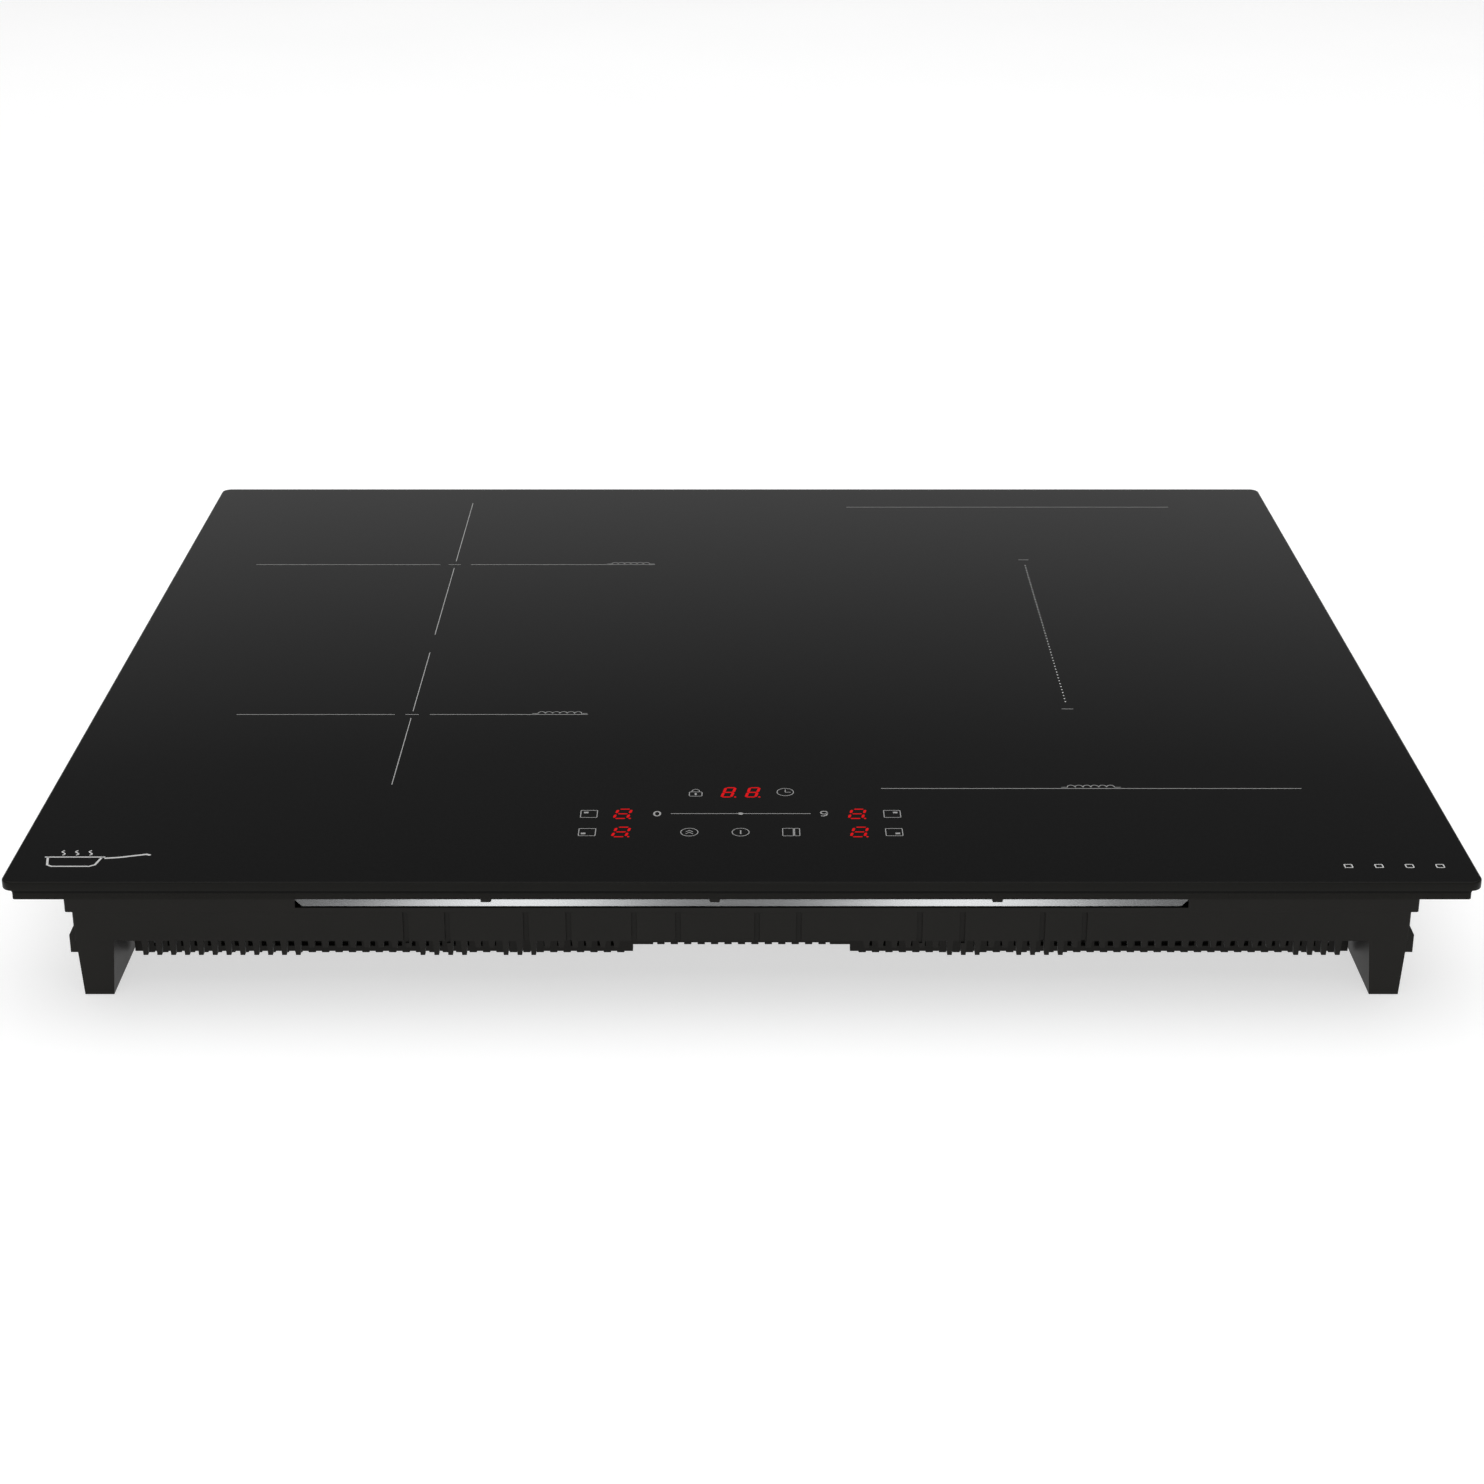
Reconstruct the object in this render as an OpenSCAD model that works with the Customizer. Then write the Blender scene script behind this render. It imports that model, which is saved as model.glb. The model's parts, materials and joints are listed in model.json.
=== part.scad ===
// Four-zone electric induction cooktop for a worktop cut-out: bonded glass, carrier frame,
// stepped plastic tray on four legs, coils, power electronics, touch control, two blowers.
// Millimetres. X runs left to right, Y front (-) to back (+), Z up, and z = 0 is under the legs.

/* [Glass] */
// Width of the glass, left to right
glass_width = 590; // [500:1:900]
// Depth of the glass, front to back
glass_depth = 520; // [400:1:600]
// Thickness of the glass
glass_thickness = 4; // [3:0.5:6]
// Plan radius of the glass corners
glass_corner_radius = 5; // [1:0.5:20]
// Ground bevel on the front and back edges
glass_bevel = 0.6; // [0.1:0.1:1.5]

/* [Case] */
// Height from the legs to the top of the glass
overall_height = 62; // [50:1:90]
// Distance from the glass edge in to the edge of the seal
seal_inset = 3.5; // [1:0.5:10]
// Thickness of the foam seal that lies on the worktop
seal_thickness = 2.5; // [1:0.5:5]
// Width of the foam seal
seal_width = 9; // [5:1:15]
// Thickness of the frame's flange
flange_thickness = 2.1; // [1.5:0.1:4]
// Thickness of the silicone bead under the glass
bond_thickness = 0.6; // [0.3:0.1:2]
// Width of the skirt that hangs in the cut-out
skirt_width = 551.4; // [450:0.1:880]
// Depth of the skirt that hangs in the cut-out
skirt_depth = 480; // [380:1:500]
// Height of the skirt below the seal
skirt_drop = 13.8; // [8:0.1:20]
// Wall thickness of the skirt
skirt_wall = 1.6; // [1:0.1:3]
// Plan radius of the corners of the flange, the skirt and the tray
case_corner_radius = 1.2; // [0.6:0.1:4]
// Step from the skirt in to the tray, at the front and back
tray_step = 2.7; // [1:0.1:6]
// Step from the skirt in to the tray, at the sides
tray_side_step = 2.2; // [1:0.1:6]
// Height of the tray's front wall below the skirt
tray_drop = 14.4; // [8:0.1:30]
// Wall thickness of the tray
tray_wall = 2.3; // [1.5:0.1:4]
// Floor thickness of the tray
floor_thickness = 2.2; // [1.5:0.1:4]
// Depth of the shallow shelf behind the front wall
shelf_depth = 36.8; // [30:0.1:100]
// Clearance of the deep pan above the ground
sump_clearance = 5.3; // [1:0.1:20]
// Width of the deep pan
sump_width = 500; // [400:1:505]
// Width of the pan's rim, which lies on the shelf
pan_rim_width = 6; // [4:0.5:6]
// Thickness of the pan's rim
pan_rim_thickness = 1.5; // [1:0.1:3]
// Half width of the window in the skirt's front
window_half_width = 181.7; // [100:0.1:240]
// Height of the window in the skirt's front
window_height = 11.5; // [4:0.5:14]
// Length of each leg, front to back
leg_length = 50; // [20:1:80]

/* [Outlet grilles] */
// Spacing of the bars in the grilles and of the teeth under the front wall
grille_pitch = 5.69; // [5:0.01:8]
// Inner end of each outlet grille, from the middle
grille_inner_x = 46; // [20:1:100]
// Outer end of each outlet grille, from the middle
grille_outer_x = 257; // [250:0.5:257]
// Thickness of each outlet grille
grille_thickness = 3.3; // [2:0.1:5]
// Width of a grille bar
bar_width = 3.1; // [2:0.1:4]
// Height of a grille's lower rail above the ground
rail_z = 2.9; // [1:0.1:5]
// Height of the rail
rail_height = 2.5; // [1:0.1:5]
// Depth of the toes under the grille bars
toe_drop = 0.6; // [0.2:0.1:1]

/* [Front teeth] */
// Outermost tooth, from the middle
tooth_outer_x = 244.7; // [200:0.1:250]
// Width of a tooth at its root
tooth_root_width = 2.8; // [2:0.1:4]
// Width of a tooth at its tip
tooth_tip_width = 1.9; // [1:0.1:3]
// Length of a long tooth
long_tooth = 6.5; // [2:0.1:8]
// Length of a short tooth
short_tooth = 3.1; // [1:0.1:6]

/* [Zones] */
// Distance of the left zones from the middle
left_zone_x = 150.2; // [120:0.1:160]
// Distance of the right zone from the middle
right_zone_x = 149.7; // [120:0.1:160]
// Front-to-back place of the large left zone
large_zone_y = 127.4; // [100:0.1:140]
// Front-to-back place of the small left zone
small_zone_y = -82.6; // [-100:0.1:-60]
// Winding radius of the large round coil
large_coil_radius = 97; // [80:1:105]
// Winding radius of the small round coil
small_coil_radius = 72; // [60:1:80]
// Width of each oval coil
oval_coil_width = 172; // [150:1:180]
// Length of each oval coil
oval_coil_length = 188; // [150:1:195]
// Middle of the rear oval coil, front to back
rear_oval_y = 127.8; // [100:0.1:140]
// Middle of the front oval coil, front to back
front_oval_y = -68.7; // [-90:0.1:-50]

/* [Cooling] */
// Distance of each blower from the middle
fan_x = 130; // [100:1:160]
// Front-to-back place of the blowers
fan_y = 140; // [100:1:160]
// Radius of the impellers
impeller_radius = 36; // [25:1:42]
// Number of blades on each impeller
blade_count = 24; // [12:1:36]
// Radius of the blower shafts
shaft_radius = 1.5; // [1:0.1:3]
// Radial running clearance of the shafts
running_clearance = 0.05; // [0.02:0.01:0.1]

/* [Cable entry] */
// Distance of the cable entry from the middle
cable_x = 215; // [180:1:230]
// Radius of the cable entry
cable_radius = 7; // [5:0.5:9]
// Length of the cable entry's wall
cable_collar_length = 12; // [6:1:20]

/* [Hidden] */
$fn = 64;
eps = 1;
glass_bottom_z = overall_height - glass_thickness;
flange_top_z = glass_bottom_z - bond_thickness;
flange_bottom_z = flange_top_z - flange_thickness;
seal_bottom_z = flange_bottom_z - seal_thickness;
skirt_bottom_z = seal_bottom_z - skirt_drop;
shelf_z = skirt_bottom_z - tray_drop;
shelf_top_z = shelf_z + floor_thickness;
sump_z = sump_clearance;
sump_top_z = sump_z + floor_thickness;
flange_w = glass_width - 2 * seal_inset;
flange_d = glass_depth - 2 * seal_inset;
skirt_front_y = -skirt_depth / 2;
body_w = skirt_width - 2 * tray_side_step;
body_d = skirt_depth - 2 * tray_step;
body_front_y = -body_d / 2;
body_side_x = body_w / 2;
rim_z = skirt_bottom_z + 5;
front_rim_z = skirt_bottom_z + 1.5;
window_z0 = skirt_bottom_z + 2;
window_z1 = window_z0 + window_height;
sump_y0 = body_front_y + shelf_depth;
sump_y1 = body_d / 2 - 12.3;
sump_cy = (sump_y0 + sump_y1) / 2;
sump_d = sump_y1 - sump_y0;
pan_rim_z = shelf_top_z + pan_rim_thickness;

// Heights of the layers between the tray and the glass
plate_top_z = glass_bottom_z - 14;
plate_z = plate_top_z - 1.5;
mica_z = glass_bottom_z - 0.8;
winding_z = mica_z - 4;
former_z = winding_z - 2.8;
ferrite_z = former_z - 4;
board_z = sump_top_z + 5.3;
board_top_z = board_z + 1.6;
sink_z = board_top_z + 4.4;
sink_base = 4;
sink_top_z = sink_z + 18;
lead_z = plate_z - 3;

// Legs: width at the top and at the ground
leg_top_x = [257.2, 272.8];
leg_foot_x = [259.2, 271.2];

// Places shared by several parts
latch_groove_x = [-137.4, -120.4, -88.2, -70.8, -44, -26, 6.3, 23.4, 72.9, 90.3, 123, 140.2];
tab_x = [-104, -11, 104];
tooth_count = 35;
bar_count = 36;
first_bar_x = 51.2;
long_teeth_left = [for (k = [0:28]) if (k < 12 || (k > 19 && k < 24) || k > 25) k];
long_teeth_right = [for (k = [0:28]) if (k < 4 || (k > 19 && k < 24) || k > 25) k];
pan_screw_xy = [[-150, -203.7], [150, -203.7], [-253.1, 0], [253.1, 0], [-150, 228.2], [150, 228.2]];
plate_post_xy = [
  [-243, -140], [-243, 36], [-243, 212], [243, -140], [243, 36], [243, 212], [0, -140], [0, 84]
];
frame_boss_xy = [[-262, -150], [-262, 30], [-262, 170], [262, -150], [262, 30], [262, 170]];
inverter_hole_xy = [[30, -144], [230, -144], [30, 68], [230, 68]];
filter_hole_xy = [[-58, 104], [58, 104], [-58, 202], [58, 202]];
holder_post_x = 38;
holder_y0 = -228;
holder_y1 = -164.5;
holder_half = 90;
clip_hole_y = 150;
clip_hole_z = skirt_bottom_z + 9.5;
clip_hole_radius = 1.5;
cover_x0 = 188;
cover_x1 = 242;
cover_y0 = 152;
cover_y1 = 216;
cable_z = 16;

// Blower layers
scroll_z0 = sump_top_z + 2;
scroll_z1 = scroll_z0 + 25.3;
scroll_wall = 1.6;
scroll_radius = 46;
rotor_z0 = scroll_z0 + 4.3;
rotor_z1 = scroll_z1 - 5;
rotor_radius = 17;
rotor_wall = 1.4;
bearing_radius = 4.5;
inlet_radius = 28;

// Colours
plastic_black = "#2a2927";
plastic_gray = "#8a8c8e";
board_green = "#1f5a35";
aluminium_color = "#b9bcc0";
steel_color = "#8f9296";
copper_color = "#b46a34";
ferrite_color = "#3a3a3e";

// ---------- shared shapes ----------

module rounded_rect(w, d, r) {
  square([w - 2 * r, d], center = true);
  square([w, d - 2 * r], center = true);
  for (x = [-1, 1], y = [-1, 1])
    translate([x * (w / 2 - r), y * (d / 2 - r)]) circle(r = r);
}

module rounded_block(w, d, z0, z1, r) {
  translate([0, 0, z0]) linear_extrude(z1 - z0) rounded_rect(w, d, r);
}

// A closed band of width t, whose outside is w by d
module rounded_ring(w, d, z0, z1, r, t) {
  translate([0, 0, z0]) linear_extrude(z1 - z0)
    difference() {
      rounded_rect(w, d, r);
      rounded_rect(w - 2 * t, d - 2 * t, max(r - t, 0.5));
    }
}

module span_box(x0, x1, y0, y1, z0, z1) {
  translate([x0, y0, z0]) cube([x1 - x0, y1 - y0, z1 - z0]);
}

module post(x, y, z0, z1, r) {
  translate([x, y, z0]) cylinder(r = r, h = z1 - z0);
}

// A profile drawn in X and Z, pushed along Y
module along_y(y0, y1) {
  translate([0, y1, 0]) rotate([90, 0, 0]) linear_extrude(y1 - y0) children();
}

// A profile drawn in Y and Z, pushed along X
module along_x(x0, x1) {
  translate([x0, 0, 0]) rotate([90, 0, 90]) linear_extrude(x1 - x0) children();
}

module both_sides() {
  children();
  mirror([1, 0, 0]) children();
}

// ---------- glass and frame ----------

module glass_plate() {
  color("#141414") intersection() {
    rounded_block(glass_width, glass_depth, glass_bottom_z, overall_height, glass_corner_radius);
    along_x(-glass_width / 2 - eps, glass_width / 2 + eps) polygon([
      [-glass_depth / 2, glass_bottom_z],
      [glass_depth / 2, glass_bottom_z],
      [glass_depth / 2, overall_height - glass_bevel],
      [glass_depth / 2 - glass_bevel, overall_height],
      [-glass_depth / 2 + glass_bevel, overall_height],
      [-glass_depth / 2, overall_height - glass_bevel]
    ]);
  }
}

module glass_bond() {
  color("#191919") rounded_ring(flange_w - 8, flange_d - 8, flange_top_z, glass_bottom_z, 4, 7);
}

module seal_tape() {
  color("#2f3032")
    rounded_ring(flange_w, flange_d, seal_bottom_z, flange_bottom_z, case_corner_radius, seal_width);
}

module window_tab(x) {
  along_y(skirt_front_y, skirt_front_y + skirt_wall) polygon([
    [x - 3.4, window_z1 + 0.5],
    [x + 3.4, window_z1 + 0.5],
    [x + 2, window_z1 - 9],
    [x - 2, window_z1 - 9]
  ]);
}

module carrier_flange() {
  color(plastic_black)
    rounded_ring(flange_w, flange_d, flange_bottom_z, flange_top_z, case_corner_radius,
                 (flange_w - skirt_width) / 2 + skirt_wall);
}

// Skirt under the flange, with the front window, the tray's screw posts and the clip holes
module carrier_skirt() {
  color(plastic_black) difference() {
    union() {
      difference() {
        rounded_ring(skirt_width, skirt_depth, skirt_bottom_z, flange_bottom_z, case_corner_radius,
                     skirt_wall);
        span_box(-window_half_width, window_half_width, skirt_front_y - eps, skirt_front_y + 3,
                 window_z0, window_z1);
      }
      for (x = tab_x) window_tab(x);
      for (p = frame_boss_xy) {
        post(p[0], p[1], shelf_top_z, flange_bottom_z, 5);
        span_box(
          min(p[0], sign(p[0]) * (skirt_width / 2 - 1)), max(p[0], sign(p[0]) * (skirt_width / 2 - 1)),
          p[1] - 5, p[1] + 5, flange_bottom_z - 2, flange_bottom_z);
      }
    }
    for (p = frame_boss_xy) post(p[0], p[1], shelf_top_z - eps, shelf_top_z + 14, 1.45);
    for (x = [-1, 1], y = [-1, 1])
      translate([x * (skirt_width / 2 - 1), y * clip_hole_y, clip_hole_z]) rotate([0, 90, 0])
        cylinder(r = clip_hole_radius, h = 4, center = true);
  }
}

// Bright strip that fills the window in the skirt; its lower corners are cut at 45 degrees
module shield_strip() {
  strip_y = skirt_front_y + skirt_wall;
  color("#d4d6d8") along_y(strip_y, strip_y + 1) polygon([
    [-186, window_z1 + 1.6],
    [186, window_z1 + 1.6],
    [186, window_z0 + 7],
    [178, window_z0 - 1],
    [-178, window_z0 - 1],
    [-186, window_z0 + 7]
  ]);
}

// ---------- tray ----------

module leg(side, end) {
  y0 = (end < 0) ? body_front_y : body_d / 2 - leg_length;
  along_y(y0, y0 + leg_length) polygon([
    [side * leg_top_x[0], shelf_z + 0.5],
    [side * leg_top_x[1], shelf_z + 0.5],
    [side * leg_foot_x[1], 0],
    [side * leg_foot_x[0], 0]
  ]);
}

// Rib that centres the tray in the cut-out
module centring_lug(side, end) {
  yc = end * (body_d / 2 - 8.5);
  along_y(yc - 8, yc + 8) polygon([
    [side * (body_side_x - 2), shelf_z + 6.5],
    [side * body_side_x, shelf_z + 6.5],
    [side * (body_side_x + 2), shelf_z + 2.5],
    [side * (body_side_x + 2), shelf_z - 5.4],
    [side * (body_side_x - 2.5), shelf_z - 5.4]
  ]);
}

// Tapered teeth that hang from the front wall, counted from the outer end. Drawn for the right side.
module front_teeth(long_teeth) {
  for (k = [0:tooth_count - 1]) {
    x = tooth_outer_x - k * grille_pitch;
    length = len(search(k, long_teeth)) > 0 ? long_tooth : short_tooth;
    along_y(body_front_y, body_front_y + tray_wall) polygon([
      [x - tooth_root_width / 2, shelf_z + 0.5],
      [x + tooth_root_width / 2, shelf_z + 0.5],
      [x + tooth_tip_width / 2, shelf_z - length],
      [x - tooth_tip_width / 2, shelf_z - length]
    ]);
  }
}

// Shallow tray: walls, a shelf with an opening for the pan, legs and front teeth
module base_tray() {
  color(plastic_black) difference() {
    union() {
      rounded_block(body_w, body_d, shelf_z, rim_z, case_corner_radius);
      for (side = [-1, 1], end = [-1, 1]) {
        leg(side, end);
        centring_lug(side, end);
      }
      front_teeth(long_teeth_right);
      mirror([1, 0, 0]) front_teeth(long_teeth_left);
    }
    difference() {
      rounded_block(body_w - 2 * tray_wall, body_d - 2 * tray_wall, shelf_top_z, rim_z + eps, 1);
      for (side = [-1, 1]) post(side * holder_post_x, holder_y0 + 6, shelf_z, plate_top_z, 4);
    }
    translate([0, sump_cy, 0])
      rounded_block(sump_width + 0.4, sump_d + 0.4, shelf_z - eps, shelf_top_z + eps, 6);
    span_box(-186, 186, body_front_y - eps, body_front_y + 6, front_rim_z, rim_z + eps);
    for (p = frame_boss_xy) post(p[0], p[1], shelf_z - eps, shelf_top_z + eps, 1.8);
    for (p = pan_screw_xy) post(p[0], p[1], shelf_z - eps, shelf_top_z + eps, 1.15);
    for (x = latch_groove_x)
      span_box(x - 1.1, x + 1.1, body_front_y - eps, body_front_y + 0.9, shelf_z - eps, skirt_bottom_z - 1);
  }
}

// ---------- pan ----------

module fan_inlet(x) {
  translate([x, fan_y, sump_z - eps]) linear_extrude(floor_thickness + 2 * eps) intersection() {
    circle(r = inlet_radius + 2);
    for (i = [-5:5]) translate([i * 6, 0]) square([3, 80], center = true);
  }
}

module pan_floor_block(z0, z1) {
  translate([0, sump_cy, 0]) rounded_block(sump_width, sump_d, z0, z1, 6);
}

// Floor of the pan, with the low posts of the boards and the air inlets
module pan_floor() {
  color(plastic_black) difference() {
    union() {
      pan_floor_block(sump_z, sump_top_z);
      for (side = [-1, 1], p = inverter_hole_xy)
        post(side * p[0], p[1], sump_top_z - 0.5, board_z, 3.5);
      for (x = [189.5, 240.5]) post(x, 189, sump_top_z - 0.5, board_z + 2, 3.5);
      for (p = filter_hole_xy) post(p[0], p[1], sump_top_z - 0.5, board_z, 3.5);
      post((cover_x0 + cover_x1) / 2, cover_y0 + 4, sump_top_z - 0.5, sump_top_z + 6, 3);
    }
    for (side = [-1, 1]) {
      fan_inlet(side * fan_x);
      for (p = inverter_hole_xy) post(side * p[0], p[1], sump_top_z + 0.5, board_z + eps, 1.3);
    }
    for (p = filter_hole_xy) post(p[0], p[1], sump_top_z + 0.5, board_z + eps, 1.3);
    span_box(cover_x0 + 6, cover_x1 - 6, cover_y0 + 8, cover_y1 - 4, sump_z - eps, sump_top_z + eps);
    post((cover_x0 + cover_x1) / 2, cover_y0 + 4, sump_z - eps, sump_top_z + 5, 1.3);
  }
}

// Ribs and end blocks on the pan's front, between the grilles
module pan_front_ribs() {
  y0 = sump_y0 - grille_thickness;
  for (i = [-6:6])
    translate([i * grille_pitch, 0, 0])
      span_box(-bar_width / 2, bar_width / 2, y0, sump_y0 + eps, sump_z + 0.8, shelf_z);
  both_sides() span_box(37.4, grille_inner_x, y0, sump_y0 + eps, sump_z + 0.8, shelf_z);
}

// Walls of the pan, with the rim that lies on the shelf, the air outlets and the cable entry
module pan_walls() {
  color(plastic_black) difference() {
    union() {
      difference() {
        translate([0, sump_cy, 0]) union() {
          rounded_block(sump_width, sump_d, sump_top_z, pan_rim_z, 6);
          rounded_block(sump_width + 2 * pan_rim_width, sump_d + 2 * pan_rim_width,
                        shelf_top_z, pan_rim_z, 4);
        }
        translate([0, sump_cy, 0])
          rounded_block(sump_width - 2 * tray_wall, sump_d - 2 * tray_wall, sump_z, pan_rim_z + eps, 4);
        for (side = [-1, 1])
          translate([side * 144, sump_y0 + tray_wall / 2, 0])
            span_box(-94, 94, -tray_wall, tray_wall, sump_top_z + 1, shelf_z - 3);
      }
      pan_front_ribs();
    }
    pan_floor_block(sump_z - eps, sump_top_z);
    for (p = pan_screw_xy) post(p[0], p[1], shelf_top_z - eps, pan_rim_z + eps, 1.35);
    span_box(cable_x - cable_radius - 3, cable_x + cable_radius + 3, sump_y1 - tray_wall - eps, sump_y1 + eps,
             sump_top_z - eps, shelf_top_z);
  }
}

// Insert in a notch of the pan's back wall: the mains cable comes in through it
module cable_insert() {
  half = cable_radius + 3;
  color(plastic_black) difference() {
    span_box(cable_x - half, cable_x + half, sump_y1 - cable_collar_length, sump_y1, sump_top_z, shelf_top_z);
    translate([cable_x, sump_y1 + eps, cable_z]) rotate([90, 0, 0])
      cylinder(r = cable_radius, h = cable_collar_length + 2 * eps);
  }
}

// Posts on the pan's floor: eight for the coil plate and two for the control holder
module plate_posts() {
  color(plastic_black) difference() {
    union() {
      for (p = plate_post_xy) post(p[0], p[1], sump_top_z, plate_z, 4);
      for (side = [-1, 1]) post(side * holder_post_x, holder_y1 - 5, sump_top_z, plate_top_z, 4);
    }
    for (p = plate_post_xy) post(p[0], p[1], plate_z - 9.5, plate_z + eps, 1.5);
  }
}

// Upright panel of bars in front of the pan: warm air leaves between them. Drawn for the right side.
module outlet_grille() {
  y0 = sump_y0 - grille_thickness;
  gap = grille_pitch - bar_width;
  difference() {
    span_box(grille_inner_x, grille_outer_x, y0, sump_y0, rail_z, shelf_z);
    for (j = [0:bar_count - 2]) {
      x0 = first_bar_x + bar_width / 2 + j * grille_pitch;
      span_box(x0, x0 + gap, y0 - eps, sump_y0 + eps, rail_z + rail_height, shelf_z - 3);
    }
  }
  for (j = [0:bar_count - 1]) {
    x = first_bar_x + j * grille_pitch;
    span_box(x - bar_width / 2, x + bar_width / 2, y0, sump_y0, rail_z - toe_drop, rail_z + 0.5);
  }
}

module outlet_grilles() {
  color(plastic_black) {
    outlet_grille();
    mirror([1, 0, 0]) outlet_grille();
  }
}

module rating_plate() {
  color(aluminium_color) span_box(-70, 30, -70, -10, sump_z - 0.2, sump_z);
}

// ---------- coils ----------

// Plate that carries the coils and shields the boards from their field
module coil_plate() {
  color(aluminium_color) difference() {
    span_box(-249, 249, -158, 222, plate_z, plate_top_z);
    for (p = plate_post_xy) post(p[0], p[1], plate_z - eps, plate_top_z + eps, 1.7);
    for (c = [[-left_zone_x, large_zone_y], [right_zone_x, rear_oval_y]])
      span_box(c[0] - 9, c[0] + 9, c[1] - 16, c[1] - 9, plate_z - eps, plate_top_z + eps);
    for (c = [[-left_zone_x, small_zone_y, 1], [right_zone_x, front_oval_y, -1]])
      span_box(c[0] + c[2] * 12.5 - 3.5, c[0] + c[2] * 12.5 + 3.5, c[1] - 9, c[1] + 9,
               plate_z - eps, plate_top_z + eps);
    for (y = [-120, -40, 60, 140]) span_box(-6, 6, y - 20, y + 20, plate_z - eps, plate_top_z + eps);
  }
}

module round_winding(x, y, r) {
  inner = 22;
  turn = 6.2;
  color(copper_color) translate([x, y, winding_z]) rotate_extrude() {
    translate([inner, 0]) square([r - inner, 3.4]);
    for (k = [inner:turn:r - 3.4]) translate([k, 3]) square([4.6, 1]);
  }
}

module oval_winding(x, y) {
  band = 58;
  color(copper_color) translate([x, y, 0]) {
    rounded_ring(oval_coil_width - 2, oval_coil_length - 2, winding_z, winding_z + 3.4, 60, band);
    for (k = [0:7])
      rounded_ring(oval_coil_width - 4 - k * 14, oval_coil_length - 4 - k * 14,
                   winding_z + 3, winding_z + 4, 59 - k * 7, 5);
  }
}

module coil_rear_left() { round_winding(-left_zone_x, large_zone_y, large_coil_radius - 2); }
module coil_front_left() { round_winding(-left_zone_x, small_zone_y, small_coil_radius - 2); }
module coil_rear_right() { oval_winding(right_zone_x, rear_oval_y); }
module coil_front_right() { oval_winding(right_zone_x, front_oval_y); }

module former_cutouts(reach) {
  circle(r = 17);
  for (a = [22.5:45:360]) rotate(a) translate([reach * 0.72, 0]) circle(r = reach * 0.1);
}

module round_former(x, y, r) {
  color(plastic_gray) translate([x, y, former_z]) linear_extrude(winding_z - former_z) difference() {
    circle(r = r);
    former_cutouts(r);
  }
}

module oval_former(x, y) {
  color(plastic_gray) translate([x, y, former_z]) linear_extrude(winding_z - former_z) difference() {
    rounded_rect(oval_coil_width, oval_coil_length, 60);
    former_cutouts(oval_coil_width / 2);
  }
}

module former_rear_left() { round_former(-left_zone_x, large_zone_y, large_coil_radius); }
module former_front_left() { round_former(-left_zone_x, small_zone_y, small_coil_radius); }
module former_rear_right() { oval_former(right_zone_x, rear_oval_y); }
module former_front_right() { oval_former(right_zone_x, front_oval_y); }

// Centre, reach and size of every coil
coil_sites = [
  [-left_zone_x, large_zone_y, large_coil_radius],
  [-left_zone_x, small_zone_y, small_coil_radius],
  [right_zone_x, rear_oval_y, oval_coil_width / 2],
  [right_zone_x, front_oval_y, oval_coil_width / 2]
];

module ferrite_bars() {
  color(ferrite_color) for (c = coil_sites, a = [0:45:315])
    translate([c[0], c[1], ferrite_z]) rotate(a) span_box(25, c[2] - 5, -6, 6, 0, 4);
}

// Bent leaf springs that press each coil up against the glass
module coil_springs() {
  h = former_z - plate_top_z;
  color(steel_color) for (c = coil_sites, a = [22.5:135:360])
    translate([c[0], c[1], 0]) rotate(a) translate([38, 0, plate_top_z]) along_y(-3, 3) polygon([
      [-8, 0], [-2, 0], [0.5, h - 0.5], [4, h - 0.5], [4, h], [0, h], [-2.5, 0.5], [-8, 0.5]
    ]);
}

module mica_sheets() {
  color("#cfc7b4") {
    for (c = [coil_sites[0], coil_sites[1]])
      translate([c[0], c[1], mica_z]) difference() {
        cylinder(r = c[2], h = glass_bottom_z - mica_z);
        translate([0, 0, -eps]) cylinder(r = 5, h = 3);
      }
    for (c = [coil_sites[2], coil_sites[3]])
      translate([c[0], c[1], mica_z]) difference() {
        rounded_block(oval_coil_width, oval_coil_length, 0, glass_bottom_z - mica_z, 60);
        translate([0, 0, -eps]) cylinder(r = 5, h = 3);
      }
  }
}

module sensor_holders() {
  color("#a8462c") for (c = coil_sites) translate([c[0], c[1], plate_top_z]) {
    cylinder(r = 7.5, h = 1.5);
    cylinder(r = 4.4, h = glass_bottom_z - 1.8 - plate_top_z);
  }
}

module temperature_sensors() {
  color("#d9d4c6") for (c = coil_sites)
    translate([c[0], c[1], glass_bottom_z - 1.8]) cylinder(r = 3.4, h = 1.8);
}

// ---------- electronics ----------

module inverter_board() {
  difference() {
    span_box(24, 236, -150, 74, board_z, board_top_z);
    for (p = inverter_hole_xy) post(p[0], p[1], board_z - eps, board_top_z + eps, 1.5);
  }
}

module inverter_board_left() {
  color(board_green) mirror([1, 0, 0]) inverter_board();
}

module inverter_board_right() {
  color(board_green) inverter_board();
}

module heat_sink(side) {
  fins = 11;
  width = 60;
  pitch = (width - 1.6) / (fins - 1);
  color(aluminium_color) along_y(-140, 40) translate([side * 152, 0]) {
    translate([-width / 2, sink_z]) square([width, sink_base]);
    for (i = [0:fins - 1]) translate([-width / 2 + i * pitch, sink_z]) square([1.6, sink_top_z - sink_z]);
  }
}

module heat_sink_left() { heat_sink(-1); }
module heat_sink_right() { heat_sink(1); }

module power_modules() {
  color("#202124") both_sides() {
    for (x = [138, 166], y = [-110, -62]) {
      span_box(x - 8, x + 8, y - 10, y + 10, board_top_z + 0.4, sink_z);
      for (k = [-5.4, 0, 5.4])
        span_box(x + k - 0.6, x + k + 0.6, y - 17, y - 9.5, board_top_z, board_top_z + 1.4);
    }
    span_box(137, 167, -6, 14, board_top_z, sink_z);
  }
}

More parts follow.
